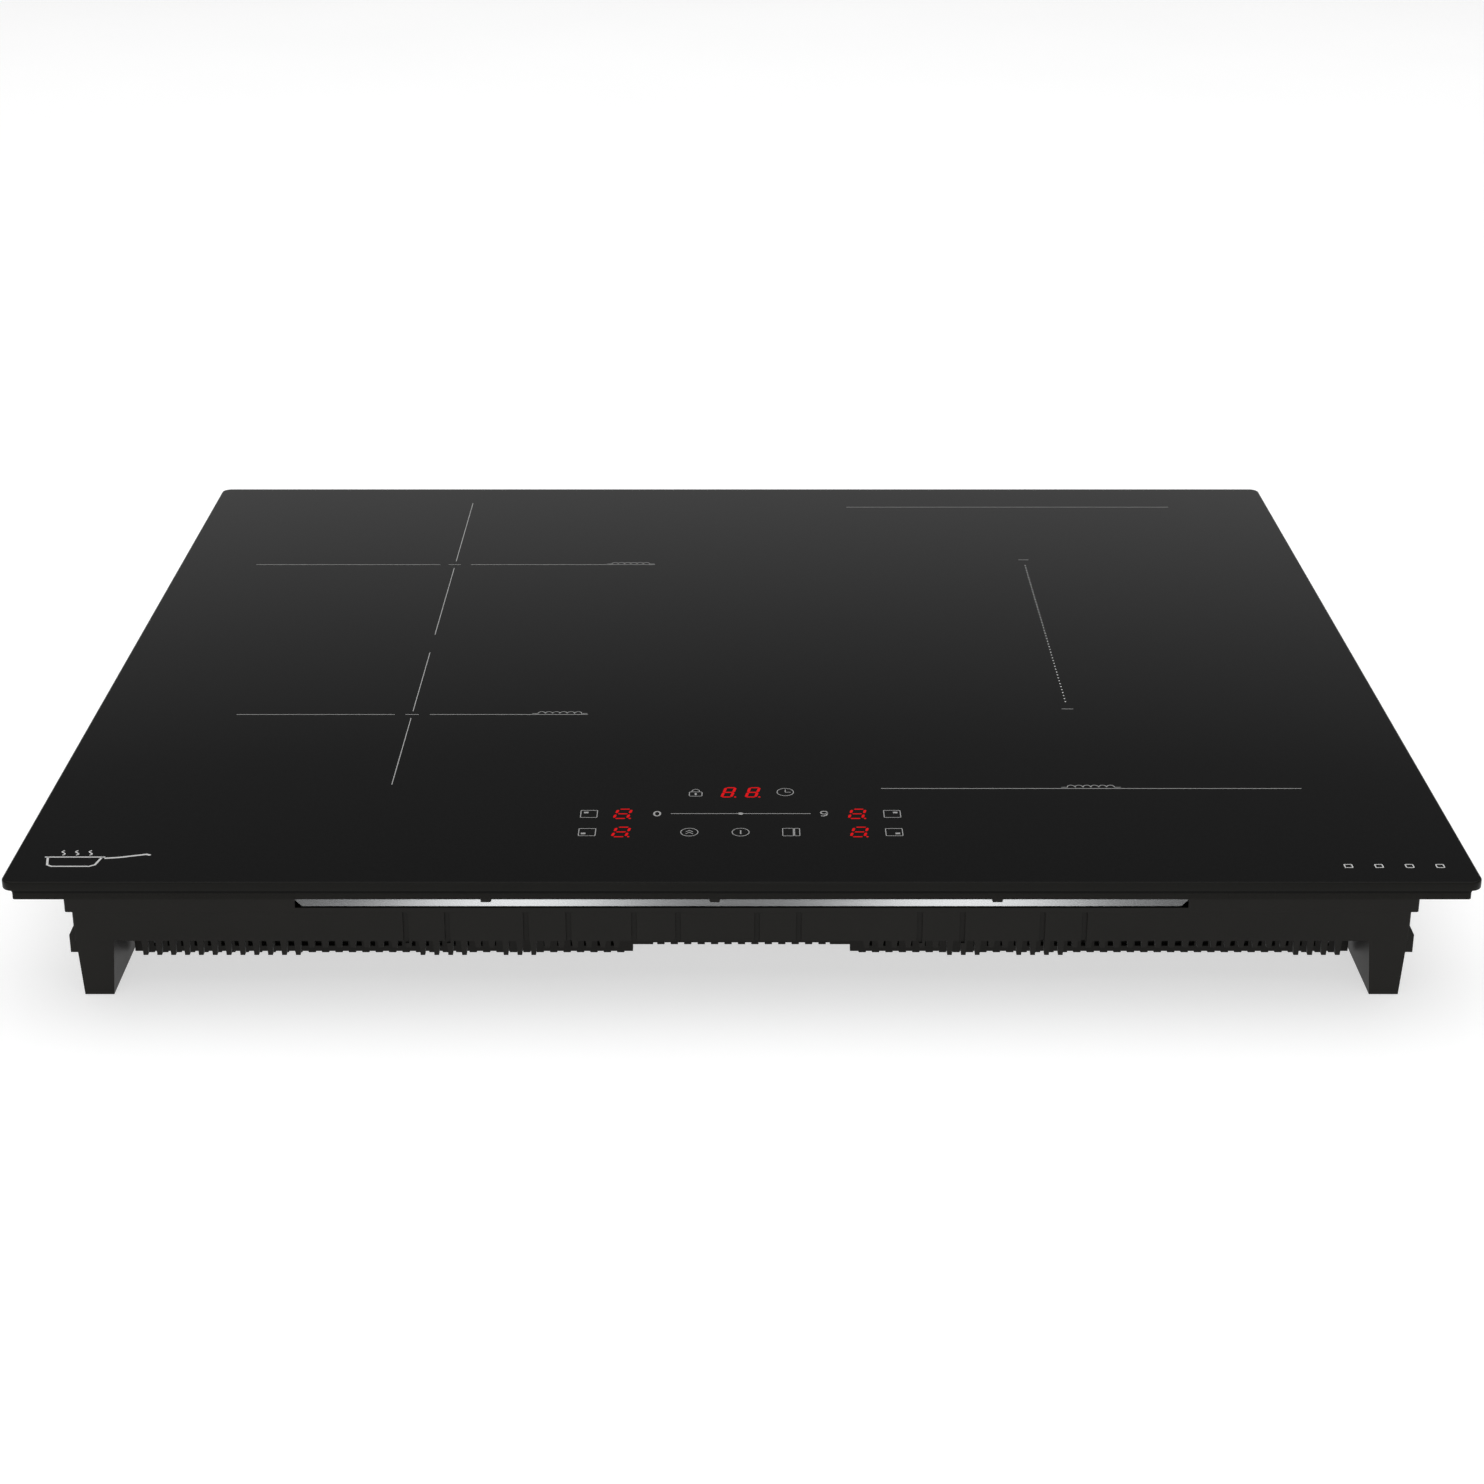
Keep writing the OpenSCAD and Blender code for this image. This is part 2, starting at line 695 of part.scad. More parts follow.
module film_capacitors() {
  color("#2b5f94") both_sides() {
    for (y = [-140, -50, -5]) span_box(87, 113, y, y + 30, board_top_z, board_top_z + 22);
    for (y = [-30, 4]) span_box(40, 66, y, y + 22, board_top_z, board_top_z + 17);
  }
  color("#2b5f94") span_box(14, 46, 108, 128, board_top_z, board_top_z + 18);
}

// Centres of the toroidal chokes
choke_xy = [[-208, -60], [208, -60], [32, 172]];

module choke_cores() {
  color(ferrite_color) for (c = choke_xy) translate([c[0], c[1], board_top_z + 2]) rotate_extrude()
    translate([12, 0]) square([8, 12]);
}

module choke_windings() {
  color(copper_color) for (c = choke_xy) translate([c[0], c[1], board_top_z]) rotate([0, 0, 20])
    rotate_extrude(angle = 320) difference() {
      translate([10, 0]) square([12, 16]);
      translate([12, 2]) square([8, 12]);
    }
}

module filter_board() {
  color(board_green) difference() {
    span_box(-64, 64, 98, 208, board_z, board_top_z);
    for (p = filter_hole_xy) post(p[0], p[1], board_z - eps, board_top_z + eps, 1.5);
  }
}

module relays() {
  color("#1b1c1f") for (x = [-46, -24, -2]) span_box(x - 8, x + 8, 134, 163, board_top_z, board_top_z + 15.5);
}

module terminal_block() {
  block_z = board_z + 2;
  color("#e5e2d8") difference() {
    span_box(186, 244, 178, 200, block_z, block_z + 16);
    for (i = [0:5]) {
      span_box(189.2 + i * 9, 196 + i * 9, 176, 186, block_z + 5, block_z + 17);
      post(192.6 + i * 9, 192, block_z + 8, block_z + 17, 3);
    }
  }
}

module terminal_screws() {
  block_z = board_z + 2;
  color("#c9a24a") for (i = [0:5]) difference() {
    post(192.6 + i * 9, 192, block_z + 8, block_z + 13.5, 2.7);
    span_box(191.9 + i * 9, 193.3 + i * 9, 188, 196, block_z + 12.3, block_z + 14);
  }
}

module terminal_cover() {
  color(plastic_black) difference() {
    union() {
      span_box(cover_x0, cover_x1, cover_y0, cover_y1, sump_z - 1.2, sump_z);
      span_box(cover_x0 + 6.3, cover_x1 - 6.3, cover_y0 + 8.3, cover_y1 - 4.3, sump_z - 0.5, sump_top_z);
    }
    post((cover_x0 + cover_x1) / 2, cover_y0 + 4, sump_z - 3, sump_z + eps, 1.6);
  }
}

module cable_clamp() {
  color(plastic_gray) difference() {
    span_box(cable_x - 15, cable_x + 15, 203, 210, sump_top_z, cable_z + 11);
    translate([cable_x, 220, cable_z]) rotate([90, 0, 0]) cylinder(r = cable_radius + 0.5, h = 30);
    span_box(cable_x - 16, cable_x - 11, 202, 211, cable_z + 4, cable_z + 12);
    span_box(cable_x + 11, cable_x + 16, 202, 211, cable_z + 4, cable_z + 12);
  }
}

// ---------- touch control ----------

module control_holder() {
  color(plastic_gray) difference() {
    span_box(-holder_half, holder_half, holder_y0, holder_y1, plate_top_z, plate_top_z + 6);
    span_box(-holder_half + 1.6, holder_half - 1.6, holder_y0 + 1.6, holder_y1 - 1.6,
             plate_top_z + 1.6, plate_top_z + 7);
    span_box(-82, -54, -191, -179, plate_top_z - eps, plate_top_z + 2);
  }
}

module control_board() {
  color(board_green)
    span_box(-holder_half, holder_half, holder_y0, holder_y1, plate_top_z + 6, plate_top_z + 7.6);
}

// Displays and touch fields, as places on the control panel
display_xy = [[-49.6, -193.3], [-49.6, -211.5], [49, -193.3], [49, -211.5]];
touch_xy = [
  [-19.5, -171.3], [18.7, -171.3],
  [-64, -193.5], [63, -193.5], [-63.8, -212], [63, -212],
  [-21.6, -212], [-0.4, -212], [20.5, -212]
];

module display_modules() {
  z0 = plate_top_z + 7.6;
  color("#33343a") {
    span_box(-11, 10, -178, -165, z0, glass_bottom_z - 0.2);
    for (p = display_xy) span_box(p[0] - 6, p[0] + 6, p[1] - 8, p[1] + 8, z0, glass_bottom_z - 0.2);
  }
}

module touch_spring(x, y) {
  z0 = plate_top_z + 7.6;
  post(x, y, z0, glass_bottom_z, 1.8);
  for (k = [0:3]) post(x, y, z0 + 0.4 + k * 1.6, z0 + 1.2 + k * 1.6, 2.8);
}

module touch_springs() {
  color(steel_color) {
    for (p = touch_xy) touch_spring(p[0], p[1]);
    for (i = [0:7]) touch_spring(-35 + i * 10, -193.3);
  }
}

// ---------- blowers, drawn for the right side ----------

module scroll_outline(r, inset) {
  circle(r = r);
  translate([-2 + inset, -62]) square([r + 2 - inset, 62]);
}

module scroll_housing() {
  translate([fan_x, fan_y, 0]) difference() {
    translate([0, 0, scroll_z0]) linear_extrude(scroll_z1 - scroll_z0) scroll_outline(scroll_radius, 0);
    translate([0, 0, scroll_z0 + scroll_wall]) linear_extrude(scroll_z1 - scroll_z0 - 2 * scroll_wall)
      scroll_outline(scroll_radius - scroll_wall, scroll_wall);
    span_box(-2 + scroll_wall, scroll_radius - scroll_wall, -63, -50,
             scroll_z0 + scroll_wall, scroll_z1 - scroll_wall);
    post(0, 0, scroll_z0 - eps, scroll_z0 + 3, inlet_radius);
  }
}

module fan_housing_left() {
  color(plastic_gray) mirror([1, 0, 0]) scroll_housing();
}

module fan_housing_right() {
  color(plastic_gray) scroll_housing();
}

module fan_bearings() {
  color("#c9a24a") both_sides() translate([fan_x, fan_y, 0]) difference() {
    post(0, 0, rotor_z0 + 3, scroll_z1 - scroll_wall, bearing_radius);
    post(0, 0, rotor_z0 - eps, scroll_z1, shaft_radius + running_clearance);
  }
}

module fan_stators() {
  color(copper_color) both_sides() translate([fan_x, fan_y, 0]) difference() {
    union() {
      post(0, 0, rotor_z0 + 6, rotor_z0 + 10, 13.8);
      post(0, 0, rotor_z0 + 3.6, rotor_z0 + 13, 7);
      for (a = [0:60:300]) rotate(a) span_box(6, 11.5, -3, 3, rotor_z0 + 3.6, rotor_z0 + 12.5);
    }
    post(0, 0, rotor_z0, rotor_z1, bearing_radius);
  }
}

module fan_shaft() {
  color(steel_color) translate([fan_x, fan_y, 0])
    post(0, 0, rotor_z0, scroll_z1 - scroll_wall - 1, shaft_radius);
}

module fan_shaft_left() { mirror([1, 0, 0]) fan_shaft(); }
module fan_shaft_right() { fan_shaft(); }

// Steel cup of the outer-rotor motor, with its ring magnet
module rotor_cup() {
  color(steel_color) translate([fan_x, fan_y, 0]) difference() {
    post(0, 0, rotor_z0, rotor_z1, rotor_radius);
    post(0, 0, rotor_z0 + rotor_wall, rotor_z1 + eps, rotor_radius - rotor_wall - 1);
    post(0, 0, rotor_z0 - eps, rotor_z1, shaft_radius);
  }
}

module rotor_cup_left() { mirror([1, 0, 0]) rotor_cup(); }
module rotor_cup_right() { rotor_cup(); }

module impeller() {
  color("#3c3f45") translate([fan_x, fan_y, 0]) {
    rotate_extrude() polygon([
      [rotor_radius, rotor_z0],
      [rotor_radius + 1.8, rotor_z0],
      [rotor_radius + 1.8, rotor_z1 - 1.4],
      [impeller_radius, rotor_z1 - 1.4],
      [impeller_radius, rotor_z1],
      [rotor_radius, rotor_z1]
    ]);
    for (i = [0:blade_count - 1])
      rotate(i * 360 / blade_count) translate([impeller_radius - 1.5, 0, 0]) rotate(35)
      span_box(-8, 0, -0.6, 0.6, rotor_z0 + 0.5, rotor_z1 - 0.7);
    rotate_extrude() translate([impeller_radius - 2.4, rotor_z0]) square([2.4, 1.4]);
  }
}

module impeller_left() { mirror([1, 0, 0]) impeller(); }
module impeller_right() { impeller(); }

// ---------- wiring and fasteners ----------

// Straight wire with round ends
module wire(a, b, r) {
  v = b - a;
  translate(a) rotate([0, acos(v[2] / norm(v)), atan2(v[1], v[0])]) cylinder(r = r, h = norm(v), $fn = 16);
  translate(b) sphere(r = r * 1.03, $fn = 16);
}

module wire_run(points, r) {
  for (i = [0:len(points) - 2]) wire(points[i], points[i + 1], r);
}

module coil_lead(start, turn_point, r) {
  top = [start[0], start[1], winding_z + 2];
  wire_run([top, [start[0], start[1], lead_z], [turn_point[0], turn_point[1], lead_z]], r);
  wire([turn_point[0], turn_point[1], board_top_z], [turn_point[0], turn_point[1], lead_z], r);
}

module wiring() {
  r = 1.9;
  color("#c8702a") {
    for (k = [-5, 5]) {
      coil_lead([-left_zone_x + k, large_zone_y - 12.5], [-left_zone_x + k, 60], r);
      coil_lead([right_zone_x + k, rear_oval_y - 12.5], [right_zone_x + k, 60], r);
      coil_lead([-left_zone_x + 12.5, small_zone_y + k], [-100, small_zone_y + k], r);
      coil_lead([right_zone_x - 12.5, front_oval_y + k], [100, front_oval_y + k], r);
    }
    for (k = [0:2])
      wire_run([
        [183.8, 182 + k * 7, board_z + 12], [50, 197.5 + k * 4.5, board_z + 12],
        [44, 197.5 + k * 4.5, board_top_z + 1.6]], 1.5);
  }
}

module ribbon_cable() {
  z0 = plate_top_z + 6;
  color("#b9bcc0") along_x(-80, -56) polygon([
    [-185.5, z0], [-184.5, z0], [-184.5, 17.5], [-145.5, 17.5],
    [-145.5, board_top_z], [-146.5, board_top_z], [-146.5, 16.5], [-185.5, 16.5]
  ]);
}

// Pan-head screw standing on z, its shank pointing down
module screw(x, y, z, shank_radius, shank_length, head_radius) {
  post(x, y, z - shank_length, z, shank_radius);
  difference() {
    post(x, y, z, z + 2, head_radius);
    span_box(x - head_radius * 0.6, x + head_radius * 0.6, y - 0.4, y + 0.4, z + 1, z + 3);
    span_box(x - 0.4, x + 0.4, y - head_radius * 0.6, y + head_radius * 0.6, z + 1, z + 3);
  }
}

module board_screws() {
  color(steel_color) {
    both_sides() for (p = inverter_hole_xy) screw(p[0], p[1], board_top_z, 1.25, 5.5, 2.8);
    for (p = filter_hole_xy) screw(p[0], p[1], board_top_z, 1.25, 5.5, 2.8);
  }
}

module plate_screws() {
  color(steel_color) for (p = plate_post_xy) screw(p[0], p[1], plate_top_z, 1.45, 9, 3);
}

module case_screws() {
  color(steel_color) {
    for (p = frame_boss_xy) translate([p[0], p[1], shelf_z]) mirror([0, 0, 1]) screw(0, 0, 0, 1.4, 14, 3.4);
    translate([(cover_x0 + cover_x1) / 2, cover_y0 + 4, sump_z - 1.2]) mirror([0, 0, 1])
      screw(0, 0, 0, 1.25, 7, 2.8);
    for (p = pan_screw_xy) screw(p[0], p[1], pan_rim_z, 1.1, pan_rim_thickness + 2, 2.4);
  }
}

glass_plate();
glass_bond();
seal_tape();
carrier_flange();
carrier_skirt();
shield_strip();
base_tray();
pan_floor();
pan_walls();
cable_insert();
plate_posts();
outlet_grilles();
rating_plate();
coil_plate();
coil_rear_left();
coil_front_left();
coil_rear_right();
coil_front_right();
former_rear_left();
former_front_left();
former_rear_right();
former_front_right();
ferrite_bars();
coil_springs();
mica_sheets();
sensor_holders();
temperature_sensors();
inverter_board_left();
inverter_board_right();
heat_sink_left();
heat_sink_right();
power_modules();
film_capacitors();
choke_cores();
choke_windings();
filter_board();
relays();
terminal_block();
terminal_screws();
terminal_cover();
cable_clamp();
control_holder();
control_board();
display_modules();
touch_springs();
fan_housing_left();
fan_housing_right();
fan_bearings();
fan_stators();
fan_shaft_left();
fan_shaft_right();
rotor_cup_left();
rotor_cup_right();
impeller_left();
impeller_right();
wiring();
ribbon_cable();
board_screws();
plate_screws();
case_screws();
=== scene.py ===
import json
import math

import bmesh
import bpy
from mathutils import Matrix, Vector


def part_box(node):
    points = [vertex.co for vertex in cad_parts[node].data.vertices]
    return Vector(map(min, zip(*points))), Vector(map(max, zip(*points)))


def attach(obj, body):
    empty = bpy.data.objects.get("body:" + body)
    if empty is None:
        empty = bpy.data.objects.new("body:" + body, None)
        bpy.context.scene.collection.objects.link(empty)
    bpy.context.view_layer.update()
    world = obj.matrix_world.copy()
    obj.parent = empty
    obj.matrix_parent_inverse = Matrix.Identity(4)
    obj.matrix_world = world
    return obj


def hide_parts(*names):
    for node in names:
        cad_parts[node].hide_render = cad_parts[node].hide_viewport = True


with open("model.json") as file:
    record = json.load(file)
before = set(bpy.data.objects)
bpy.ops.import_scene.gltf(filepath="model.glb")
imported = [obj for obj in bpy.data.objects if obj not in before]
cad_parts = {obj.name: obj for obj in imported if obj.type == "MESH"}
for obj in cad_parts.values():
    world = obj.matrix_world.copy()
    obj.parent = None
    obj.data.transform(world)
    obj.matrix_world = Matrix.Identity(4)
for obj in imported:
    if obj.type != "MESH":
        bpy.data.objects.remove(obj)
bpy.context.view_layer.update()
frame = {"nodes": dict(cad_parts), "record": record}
nodes = frame["nodes"]

MM = 0.001
glass_low, glass_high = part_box("glass_plate")
CX = (glass_low[0] + glass_high[0]) / 2
CY = (glass_low[1] + glass_high[1]) / 2
TOP = glass_high[2]
FACE = TOP - 0.05 * MM          # polished face of the glass, just under the printing

GLASS_RADIUS = 5 * MM           # rounding of the plate's four corners, seen from above
PRINT_TOP = TOP - 0.01 * MM     # printing stands a little proud of the polished face
PRINT_LOW = TOP - 0.03 * MM
LINE = 0.38                     # width of the zone lines, in millimetres
ICON = 0.36                     # width of the icons' lines
COIL = 0.32                     # width of the small coil drawings


# ---------------------------------------------------------------- materials

def new_material(name):
    """A node material with its tree and its shader."""
    mat = bpy.data.materials.new(name)
    mat.use_nodes = True
    tree = mat.node_tree
    shader = tree.nodes["Principled BSDF"]
    return mat, tree, shader


def node(tree, kind, **values):
    """A new shader node with its sockets, or else its settings, given by name."""
    n = tree.nodes.new(kind)
    for key, value in values.items():
        if key in n.inputs:
            n.inputs[key].default_value = value
        else:
            setattr(n, key, value)
    return n


def place(tree, stretch=(1, 1, 1)):
    """Position in metres, stretched along an axis for brushed or drawn grain."""
    coord = tree.nodes.new("ShaderNodeTexCoord")
    mapping = tree.nodes.new("ShaderNodeMapping")
    mapping.inputs["Scale"].default_value = stretch
    tree.links.new(coord.outputs["Object"], mapping.inputs["Vector"])
    return mapping.outputs["Vector"]


def shades(tree, factor, dark, light, low=0.3, high=0.7):
    """Colour that runs from dark to light while the factor goes from low to high."""
    ramp = tree.nodes.new("ShaderNodeValToRGB")
    ramp.color_ramp.elements[0].position = low
    ramp.color_ramp.elements[1].position = high
    ramp.color_ramp.elements[0].color = (*dark, 1)
    ramp.color_ramp.elements[1].color = (*light, 1)
    tree.links.new(factor, ramp.inputs["Fac"])
    return ramp.outputs["Color"]


def span(tree, factor, low, high):
    """Factor 0..1 mapped to low..high."""
    m = tree.nodes.new("ShaderNodeMapRange")
    m.inputs["To Min"].default_value = low
    m.inputs["To Max"].default_value = high
    tree.links.new(factor, m.inputs["Value"])
    return m.outputs["Result"]


GRAIN_SHARE = 0.45              # how much of a surface's colour follows its fine grain
PATCH_SHARE = 0.55              # and how much follows its broad patches
ROUGH_VARY = 0.06               # roughness goes this far either way, patch by patch


def surface(name, color, rough, metallic=0.0, grain=1500, stretch=(1, 1, 1), vary=0.12, bump=0.15,
            depth=0.05, cells=False, edge=0.0, specular=0.5, patch=40):
    """A moulded, rolled or sintered surface.

    Fine grain gives its bump, broad patches give its gloss, and both give its colour. Depth and edge,
    the bump's height and the rounding of sharp edges, are in millimetres.
    """
    mat, tree, shader = new_material(name)
    where = place(tree, stretch)
    if cells:
        fine = node(tree, "ShaderNodeTexVoronoi", Scale=grain)
        fine_out = fine.outputs["Distance"]
    else:
        fine = node(tree, "ShaderNodeTexNoise", Scale=grain, Detail=4.0, Roughness=0.6)
        fine_out = fine.outputs["Fac"]
    tree.links.new(where, fine.inputs["Vector"])
    broad = node(tree, "ShaderNodeTexNoise", Scale=patch, Detail=3.0, Roughness=0.55)
    tree.links.new(place(tree), broad.inputs["Vector"])
    dark = tuple(c * (1 - vary) for c in color)
    light = tuple(min(1.0, c * (1 + vary)) for c in color)
    mix = node(tree, "ShaderNodeMath", operation="MULTIPLY_ADD")
    mix.inputs[1].default_value = GRAIN_SHARE
    tree.links.new(fine_out, mix.inputs[0])
    patches = node(tree, "ShaderNodeMath", operation="MULTIPLY")
    patches.inputs[1].default_value = PATCH_SHARE
    tree.links.new(broad.outputs["Fac"], patches.inputs[0])
    tree.links.new(patches.outputs[0], mix.inputs[2])
    tree.links.new(shades(tree, mix.outputs[0], dark, light), shader.inputs["Base Color"])
    gloss = span(tree, broad.outputs["Fac"], rough - ROUGH_VARY, rough + ROUGH_VARY)
    tree.links.new(gloss, shader.inputs["Roughness"])
    bump_node = node(tree, "ShaderNodeBump", Strength=bump, Distance=depth * MM)
    tree.links.new(fine_out, bump_node.inputs["Height"])
    if edge > 0:
        rounding = node(tree, "ShaderNodeBevel", samples=4, Radius=edge * MM)
        tree.links.new(rounding.outputs["Normal"], bump_node.inputs["Normal"])
    tree.links.new(bump_node.outputs["Normal"], shader.inputs["Normal"])
    shader.inputs["Metallic"].default_value = metallic
    shader.inputs["Specular IOR Level"].default_value = specular
    return mat


def black_glass():
    """Opaque black glass-ceramic: polished, with a very faint unevenness in its gloss."""
    mat, tree, shader = new_material("ceramic_glass")
    where = place(tree)
    broad = node(tree, "ShaderNodeTexNoise", Scale=9.0, Detail=5.0, Roughness=0.6)
    tree.links.new(where, broad.inputs["Vector"])
    speck = node(tree, "ShaderNodeTexNoise", Scale=900.0, Detail=2.0, Roughness=0.5)
    tree.links.new(where, speck.inputs["Vector"])
    black = shades(tree, speck.outputs["Fac"], (0.0020, 0.0020, 0.0020), (0.0034, 0.0034, 0.0034))
    tree.links.new(black, shader.inputs["Base Color"])
    tree.links.new(span(tree, broad.outputs["Fac"], 0.035, 0.075), shader.inputs["Roughness"])
    shader.inputs["IOR"].default_value = 1.5
    return mat


STRIP_LEAN = 0.30               # slope of the bright strip's louvres, as a rise over a run


def bright_strip():
    """Rolled aluminium strip whose fine louvred profile leans its gloss towards the lights."""
    mat, tree, shader = new_material("bright_aluminium")
    streak = node(tree, "ShaderNodeTexNoise", Scale=900.0, Detail=4.0, Roughness=0.6)
    tree.links.new(place(tree, (0.02, 1, 3)), streak.inputs["Vector"])
    metal = shades(tree, streak.outputs["Fac"], (0.132, 0.134, 0.136), (0.146, 0.148, 0.150))
    tree.links.new(metal, shader.inputs["Base Color"])
    tree.links.new(span(tree, streak.outputs["Fac"], 0.14, 0.16), shader.inputs["Roughness"])
    split = tree.nodes.new("ShaderNodeSeparateXYZ")
    tree.links.new(place(tree), split.inputs["Vector"])
    lean = node(tree, "ShaderNodeMath", operation="MULTIPLY")
    lean.inputs[1].default_value = -STRIP_LEAN
    tree.links.new(split.outputs["Z"], lean.inputs[0])
    profile = node(tree, "ShaderNodeBump", Strength=1.0, Distance=1.0)
    tree.links.new(lean.outputs[0], profile.inputs["Height"])
    tree.links.new(profile.outputs["Normal"], shader.inputs["Normal"])
    shader.inputs["Metallic"].default_value = 1.0
    return mat


def printed_ink(name, level):
    """Fired ceramic ink: a warm gray of the given level, slightly speckled."""
    mat, tree, shader = new_material(name)
    speck = node(tree, "ShaderNodeTexNoise", Scale=4000.0, Detail=3.0, Roughness=0.6)
    tree.links.new(place(tree), speck.inputs["Vector"])
    gray = (1, 1, 0.99)
    dark = tuple(c * level * 0.9 for c in gray)
    light = tuple(c * level * 1.1 for c in gray)
    tree.links.new(shades(tree, speck.outputs["Fac"], dark, light), shader.inputs["Base Color"])
    tree.links.new(span(tree, speck.outputs["Fac"], 0.34, 0.46), shader.inputs["Roughness"])
    return mat


def lit_red():
    """Red display segments, lit from inside, a little brighter in patches."""
    mat, tree, shader = new_material("display_red")
    glow = node(tree, "ShaderNodeTexNoise", Scale=500.0, Detail=2.0)
    tree.links.new(place(tree), glow.inputs["Vector"])
    red = shades(tree, glow.outputs["Fac"], (0.58, 0.0, 0.0015), (0.74, 0.0, 0.004))
    tree.links.new(red, shader.inputs["Emission Color"])
    shader.inputs["Base Color"].default_value = (0.01, 0.0, 0.0, 1)
    shader.inputs["Specular IOR Level"].default_value = 0.08
    shader.inputs["Emission Strength"].default_value = 1.0
    shader.inputs["Roughness"].default_value = 0.3
    return mat


def circuit_board():
    """Green lacquer over a net of copper tracks, with tinned pads."""
    mat, tree, shader = new_material("board")
    where = place(tree, (1, 1, 0))
    tracks = node(tree, "ShaderNodeTexBrick", Scale=90.0)
    tracks.inputs["Mortar Size"].default_value = 0.03
    tracks.inputs["Color1"].default_value = (0.012, 0.10, 0.04, 1)
    tracks.inputs["Color2"].default_value = (0.018, 0.13, 0.05, 1)
    tracks.inputs["Mortar"].default_value = (0.06, 0.24, 0.08, 1)
    tree.links.new(where, tracks.inputs["Vector"])
    pads = node(tree, "ShaderNodeTexVoronoi", Scale=260.0)
    tree.links.new(where, pads.inputs["Vector"])
    ring = node(tree, "ShaderNodeMath", operation="LESS_THAN")
    ring.inputs[1].default_value = 0.16
    tree.links.new(pads.outputs["Distance"], ring.inputs[0])
    mix = node(tree, "ShaderNodeMix", data_type="RGBA")
    # A colour mix keeps its two colours in sockets 6 and 7, and its result in output 2
    tree.links.new(ring.outputs[0], mix.inputs["Factor"])
    tree.links.new(tracks.outputs["Color"], mix.inputs[6])
    mix.inputs[7].default_value = (0.55, 0.50, 0.40, 1)
    tree.links.new(mix.outputs[2], shader.inputs["Base Color"])
    tree.links.new(span(tree, pads.outputs["Distance"], 0.28, 0.42), shader.inputs["Roughness"])
    bump_node = node(tree, "ShaderNodeBump", Strength=0.4, Distance=0.04 * MM)
    tree.links.new(tracks.outputs["Fac"], bump_node.inputs["Height"])
    tree.links.new(bump_node.outputs["Normal"], shader.inputs["Normal"])
    return mat


def stranded(name, dark, light, metallic, rough, pitch=900):
    """Twisted strands or a woven sleeve: slanting fine bands."""
    mat, tree, shader = new_material(name)
    bands = node(tree, "ShaderNodeTexWave", Scale=pitch, Distortion=1.5, Detail=2.0,
                 bands_direction="DIAGONAL")
    tree.links.new(place(tree), bands.inputs["Vector"])
    tree.links.new(shades(tree, bands.outputs["Fac"], dark, light, 0.2, 0.8), shader.inputs["Base Color"])
    tree.links.new(span(tree, bands.outputs["Fac"], rough - 0.08, rough + 0.08), shader.inputs["Roughness"])
    bump_node = node(tree, "ShaderNodeBump", Strength=0.5, Distance=0.08 * MM)
    tree.links.new(bands.outputs["Fac"], bump_node.inputs["Height"])
    tree.links.new(bump_node.outputs["Normal"], shader.inputs["Normal"])
    shader.inputs["Metallic"].default_value = metallic
    return mat


